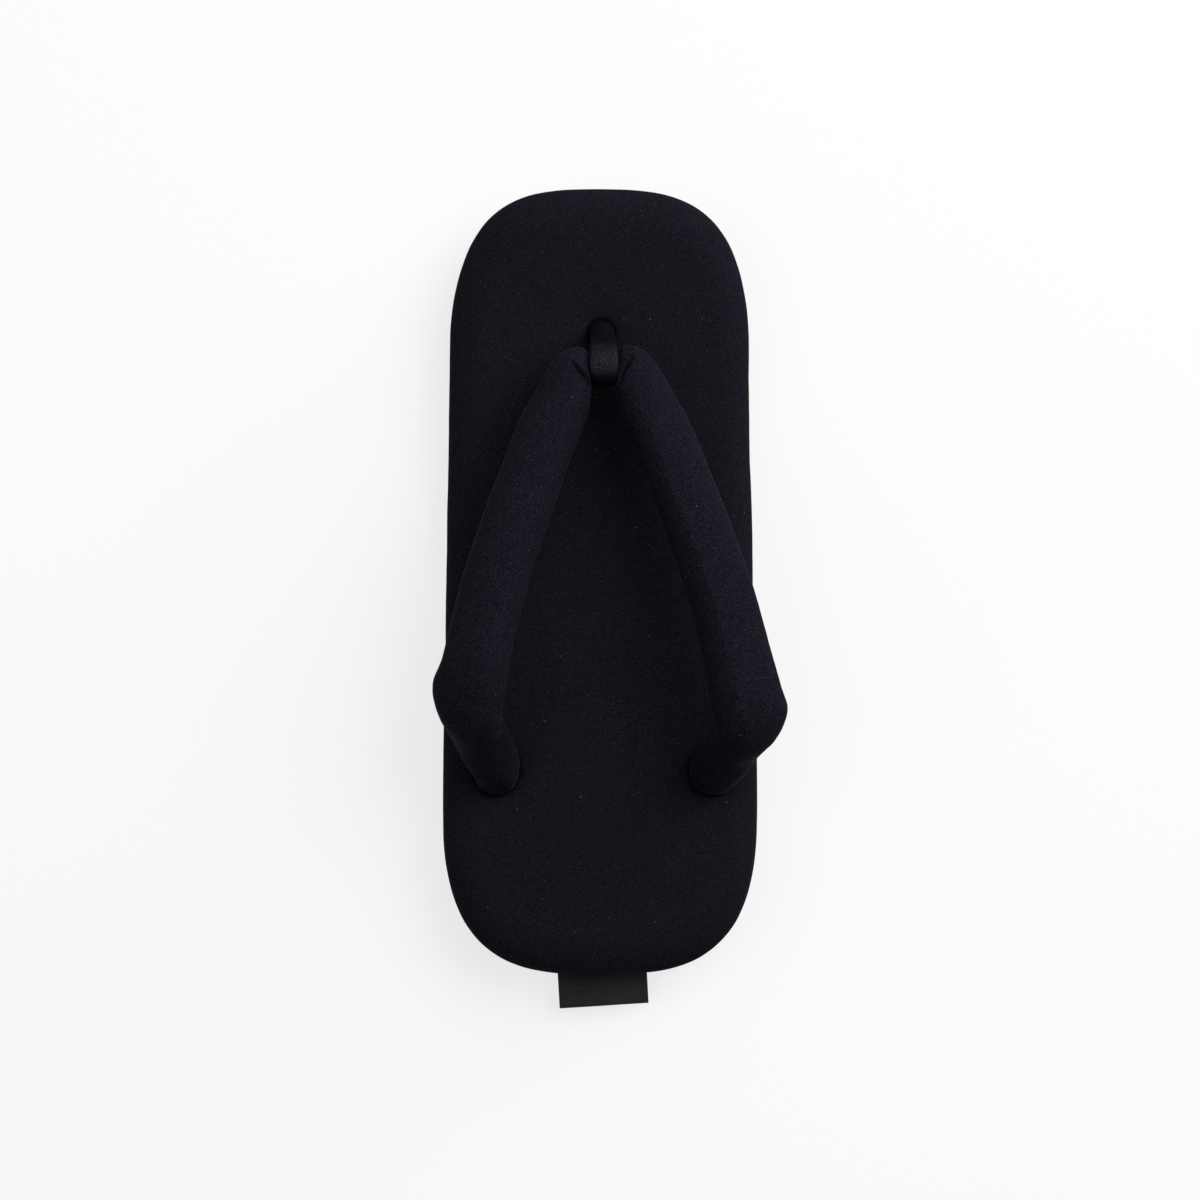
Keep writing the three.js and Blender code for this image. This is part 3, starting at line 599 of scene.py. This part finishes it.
top = []
first = edge - out * reach
for i in range(IN_STEPS, 0, -1):
    p = gather(mix(first, spine(first), i / IN_STEPS))
    top.append(np.column_stack([p, top_height(p)]))
last = layers[-1][:, :2]
base = []
for i in range(1, BASE_STEPS + 1):
    p = mix(last, spine(last), i / BASE_STEPS)
    base.append(np.column_stack([p, pad_base(p[:, 1])]))
stack = np.array(top + layers + base)
pts = stack.reshape(-1, 3)
du = np.gradient(stack, axis=0)
dv = np.roll(stack, -1, 1) - np.roll(stack, 1, 1)
n = np.cross(dv, du).reshape(-1, 3)
n /= np.maximum(np.linalg.norm(n, axis=1), 1e-9)[:, None]
n[np.linalg.norm(n, axis=1) < 0.5] = (0, 0, 1)
above = smooth(pts[:, 2] - pad_base(pts[:, 1]), 3.0, 9.0)
pts = pts + n * ((0.22 * wave(pts, 11, 34.0) + 0.05 * wave(pts, 12, 9.0)) * above)[:, None]
faces = ring_faces(len(stack), RIM)
footbed = mesh_piece("padded_footbed", pts, faces, FOOTBED_MAT, "footbed")


def weld(o, dist):
    import bmesh

    b = bmesh.new()
    b.from_mesh(o.data)
    bmesh.ops.remove_doubles(b, verts=b.verts, dist=dist)
    bmesh.ops.dissolve_degenerate(b, edges=b.edges, dist=1e-7)
    bmesh.ops.recalc_face_normals(b, faces=b.faces)
    for f in b.faces:
        f.smooth = True
    b.to_mesh(o.data)
    b.free()


weld(footbed, 1e-6)


# ------------------------------------------------------------------ toe loop
def loop_stops():
    neck = STRAP_ROWS[0]
    reach = GAP + LOOP_WRAP
    a = (neck[3] - neck[1]) / 2 + reach + 0.1
    b = neck[5] + reach + 0.1
    ex = 2 / STRAP_SECTION_POWER
    cy, cz = (neck[3] + neck[1]) / 2, float(pad_top(neck[3])) + neck[4]
    topz = float(pad_top(SLOT_Y)) + PAD_CROWN
    foot = float(pad_base(SLOT_Y)) + 0.6

    def on_neck(deg):
        return np.array([cy + a * spow(math.cos(math.radians(deg)), ex), cz + b * spow(math.sin(math.radians(deg)), ex)])

    leg, flat, over, behind, rear = (4.0, 3.0, 0.95, 2.0), (4.3, 1.1, 1.1, 2.5), (4.5, 1.1, 1.1, 2.5), (3.6, 1.1, 1.1, 2.5), (3.5, 3.2, 0.95, 2.2)
    leg, flat, over, behind, rear = map(np.array, (leg, flat, over, behind, rear))
    rows = []

    def add(p, row):
        rows.append((*p, *row))

    f0 = np.array([SLOT_Y + LEG_SPREAD, topz + 0.3])
    for z in np.linspace(foot, topz + 0.3, 7):
        add((SLOT_Y + LEG_SPREAD, z), leg)
    w0, w1 = on_neck(LOOP_FRONT_ANGLE), on_neck(LOOP_REAR_ANGLE)
    for t in np.linspace(0, 1, 8)[1:-1]:
        add(mix(f0, w0, t), mix(leg, flat, float(smooth(t, 0, 1))))
    for deg in np.linspace(LOOP_FRONT_ANGLE, LOOP_REAR_ANGLE, 27):
        row = mix(flat, over, float(smooth(deg, 30, 100))) if deg < 100 else mix(over, behind, float(smooth(deg, 100, 165)))
        add(on_neck(deg), row)
    r0 = np.array([SLOT_Y - LEG_SPREAD, topz + 0.3])
    for t in np.linspace(0, 1, 8)[1:-1]:
        add(mix(w1, r0, t), mix(behind, rear, float(smooth(t, 0, 1))))
    for z in np.linspace(topz + 0.3, foot, 7):
        add((SLOT_Y - LEG_SPREAD, z), rear)
    return spline(np.array(rows), 4)


LOOP_SIDES = 40
st = loop_stops()
line = np.column_stack([np.zeros(len(st)), st[:, 0], st[:, 1]])
along = np.gradient(line, axis=0)
along /= np.linalg.norm(along, axis=1)[:, None]
outward = np.cross(along, [1.0, 0, 0])
a = np.linspace(0, 2 * math.pi, LOOP_SIDES, endpoint=False)
ex = 2 / st[:, 5:6]
c, s = spow(np.cos(a)[None], ex), spow(np.sin(a)[None], ex)
depth = np.where(s > 0, st[:, 3:4], st[:, 4:5])
rings = line[:, None] + np.array([1.0, 0, 0]) * (st[:, 2:3] * c)[..., None] + outward[:, None] * (depth * s)[..., None]
pts = rings.reshape(-1, 3)
faces = ring_faces(len(st), LOOP_SIDES)
faces.append(list(range(LOOP_SIDES))[::-1])
faces.append([(len(st) - 1) * LOOP_SIDES + k for k in range(LOOP_SIDES)])
loop = mesh_piece("toe_loop_band", pts, faces, LOOP_MAT, "toe_loop")

# ------------------------------------------------------------------ outsole
SOLE_RIM = 360
edge, out = outline(SOLE_RIM)
r = SOLE_EDGE_ROUND
layers = []
last = None


def sole_layer(inset, z):
    p = edge - out * inset
    layers.append(np.column_stack([p, z(p[:, 1])]))


TOP_IN = 8
ring0 = edge - out * (SOLE_INSET + 0.8)
for i in range(TOP_IN, 0, -1):
    p = mix(ring0, spine(ring0), i / TOP_IN)
    layers.append(np.column_stack([p, sole_top(p[:, 1])]))
for i in range(6):
    a = math.pi / 2 * i / 5
    sole_layer(SOLE_INSET + 0.8 * (1 - math.sin(a)), lambda y, a=a: sole_top(y) - 0.8 * (1 - math.cos(a)))
for t in np.linspace(0, 1, 7)[1:-1]:
    sole_layer(SOLE_INSET, lambda y, t=t: mix(sole_top(y) - 0.8, lift(y) + r, t))
for i in range(7):
    a = math.pi / 2 * i / 6
    sole_layer(SOLE_INSET + r * (1 - math.cos(a)), lambda y, a=a: lift(y) + r * (1 - math.sin(a)))
ring1 = edge - out * (SOLE_INSET + r)
for i in range(1, 9):
    p = mix(ring1, spine(ring1), i / 8)
    layers.append(np.column_stack([p, lift(p[:, 1])]))
stack = np.array(layers)
sole = mesh_piece("rubber_outsole", stack.reshape(-1, 3), ring_faces(len(stack), SOLE_RIM), SOLE_MAT, "outsole")
weld(sole, 1e-6)

# ------------------------------------------------------------------ heel label
SHEET = 0.44  # thickness of one layer
half = LABEL_THICKNESS / 2 - SHEET / 2
total = LABEL_HELD + LABEL_SHOWS


def label_mid(s):
    return -LABEL_DROOP * np.clip((s - LABEL_HELD) / LABEL_SHOWS, 0, 1) ** 2


run = np.linspace(0, total - half, 22)
turn = np.radians(np.linspace(90, -90, 9))[1:-1]
path = np.concatenate(
    [
        np.stack([run, label_mid(run) + half], 1),
        np.stack([total - half + half * np.cos(turn), label_mid(total) + half * np.sin(turn)], 1),
        np.stack([run[::-1], label_mid(run[::-1]) - half], 1),
    ]
)
d = np.gradient(path, axis=0)
d /= np.linalg.norm(d, axis=1)[:, None]
nrm = np.stack([-d[:, 1], d[:, 0]], 1)
prof = np.concatenate([path + nrm * SHEET / 2, (path - nrm * SHEET / 2)[::-1]])
cols = np.linspace(-LABEL_WIDTH / 2, LABEL_WIDTH / 2, 29)
turn = math.radians(LABEL_TURN)
heel = -LENGTH / 2
grid = []
for x in cols:
    wob = 0.12 * np.sin(x * 0.31 + 0.6) * np.clip((prof[:, 0] - LABEL_HELD) / LABEL_SHOWS, 0, 1)
    px, py = np.full(len(prof), -x), -prof[:, 0]
    q = np.stack([px * math.cos(turn) - py * math.sin(turn) + LABEL_X, px * math.sin(turn) + py * math.cos(turn) + heel + LABEL_HELD, prof[:, 1] + wob + float(sole_top(heel)) - LABEL_THICKNESS / 2], 1)
    grid.append(q)
grid = np.array(grid)
faces = ring_faces(len(cols), len(prof))
k = len(path)
for end, flip in ((0, False), (len(cols) - 1, True)):
    for i in range(k - 1):
        f = [end * len(prof) + v for v in (i, i + 1, 2 * k - 2 - i, 2 * k - 1 - i)]
        faces.append(f[::-1] if flip else f)
label = mesh_piece("heel_tab_ribbon", grid.reshape(-1, 3), faces, LABEL_MAT, "heel_label")
weld(label, 1e-7)

# ------------------------------------------------------------------ floor, light, camera
fm, nt, bsdf, coord = nodes_of("floor_white")
nt.links.new(ramp(nt, noise(nt, coord, 3.0, 2.0), [(0.3, (0.218, 0.218, 0.218)), (0.7, (0.222, 0.222, 0.222))]), bsdf.inputs["Base Color"])
bsdf.inputs["Roughness"].default_value = 0.9
bsdf.inputs["Specular IOR Level"].default_value = 0.1
bsdf.inputs["Emission Color"].default_value = (1.0, 1.0, 1.0, 1)
bsdf.inputs["Emission Strength"].default_value = 0.74  # lit from below, so that shadows on it stay faint
fl = bpy.data.meshes.new("floor")
fl.from_pydata([(-4, -4, 0), (4, -4, 0), (4, 4, 0), (-4, 4, 0)], [], [(0, 1, 2, 3)])
floor = bpy.data.objects.new("floor", fl)
bpy.context.scene.collection.objects.link(floor)
fl.materials.append(fm)

world = bpy.data.worlds.new("studio")
bpy.context.scene.world = world
world.use_nodes = True
bg = world.node_tree.nodes.get("Background") or world.node_tree.nodes.new("ShaderNodeBackground")
bg.inputs["Color"].default_value = (1.0, 1.0, 1.0, 1)
bg.inputs["Strength"].default_value = 0.0


def softbox(name, loc, aim, size, power):
    d = bpy.data.lights.new(name, "AREA")
    d.shape, d.size, d.size_y, d.energy = "RECTANGLE", size[0], size[1], power
    o = bpy.data.objects.new(name, d)
    o.location = loc
    o.rotation_euler = (Vector(aim) - Vector(loc)).to_track_quat("-Z", "Y").to_euler()
    bpy.context.scene.collection.objects.link(o)
    return o


def around(name, azimuth, elevation, size, power):
    """A soft box 1.9 m away, azimuth from +X towards the toe."""
    a, b = math.radians(azimuth), math.radians(elevation)
    at = (1.9 * math.cos(a) * math.cos(b), 1.9 * math.sin(a) * math.cos(b), 1.9 * math.sin(b))
    softbox(name, at, (0.0, 0.0, 0.03), size, power)


around("right", 15, 55, (1.3, 1.3), 5.4)
around("toe_right", 45, 55, (1.3, 1.3), 20.8)
around("toe", 90, 55, (1.3, 1.3), 2.6)
around("toe_left", 135, 55, (1.3, 1.3), 1.6)
around("left", 180, 55, (1.3, 1.3), 8.0)
around("top", 0, 90, (1.2, 1.2), 4.6)
around("low_toe_right", 45, 28, (1.3, 1.0), 2.2)
around("low_toe", 90, 28, (1.3, 1.0), 4.3)
around("edge", 38, 10, (1.0, 0.35), 20.0)

PX_PER_MM = 1200 / 390.1
view_mid = np.array([0.0, -5.9, 19.0]) * MM + HOME
eye = np.array([-50.7, -5.9, 1219.0]) * MM + HOME
cam_data = bpy.data.cameras.new("camera")
cam_data.sensor_width = 36.0
cam_data.lens = 36.0 * 1200.0 / 390.1
cam_data.clip_start, cam_data.clip_end = 0.05, 20.0
cam = bpy.data.objects.new("camera", cam_data)
bpy.context.scene.collection.objects.link(cam)
back = Vector(eye - view_mid).normalized()
right = Vector((0, 1, 0)).cross(back).normalized()
upv = back.cross(right)
rot = [[right[i], upv[i], back[i]] for i in range(3)]
from mathutils import Matrix

cam.matrix_world = Matrix.Translation(Vector(eye)) @ Matrix(rot).to_4x4()
bpy.context.scene.camera = cam

vs = bpy.context.scene.view_settings
vs.view_transform = "Standard"
vs.look = "None"
vs.exposure = 0.0
vs.gamma = 1.0
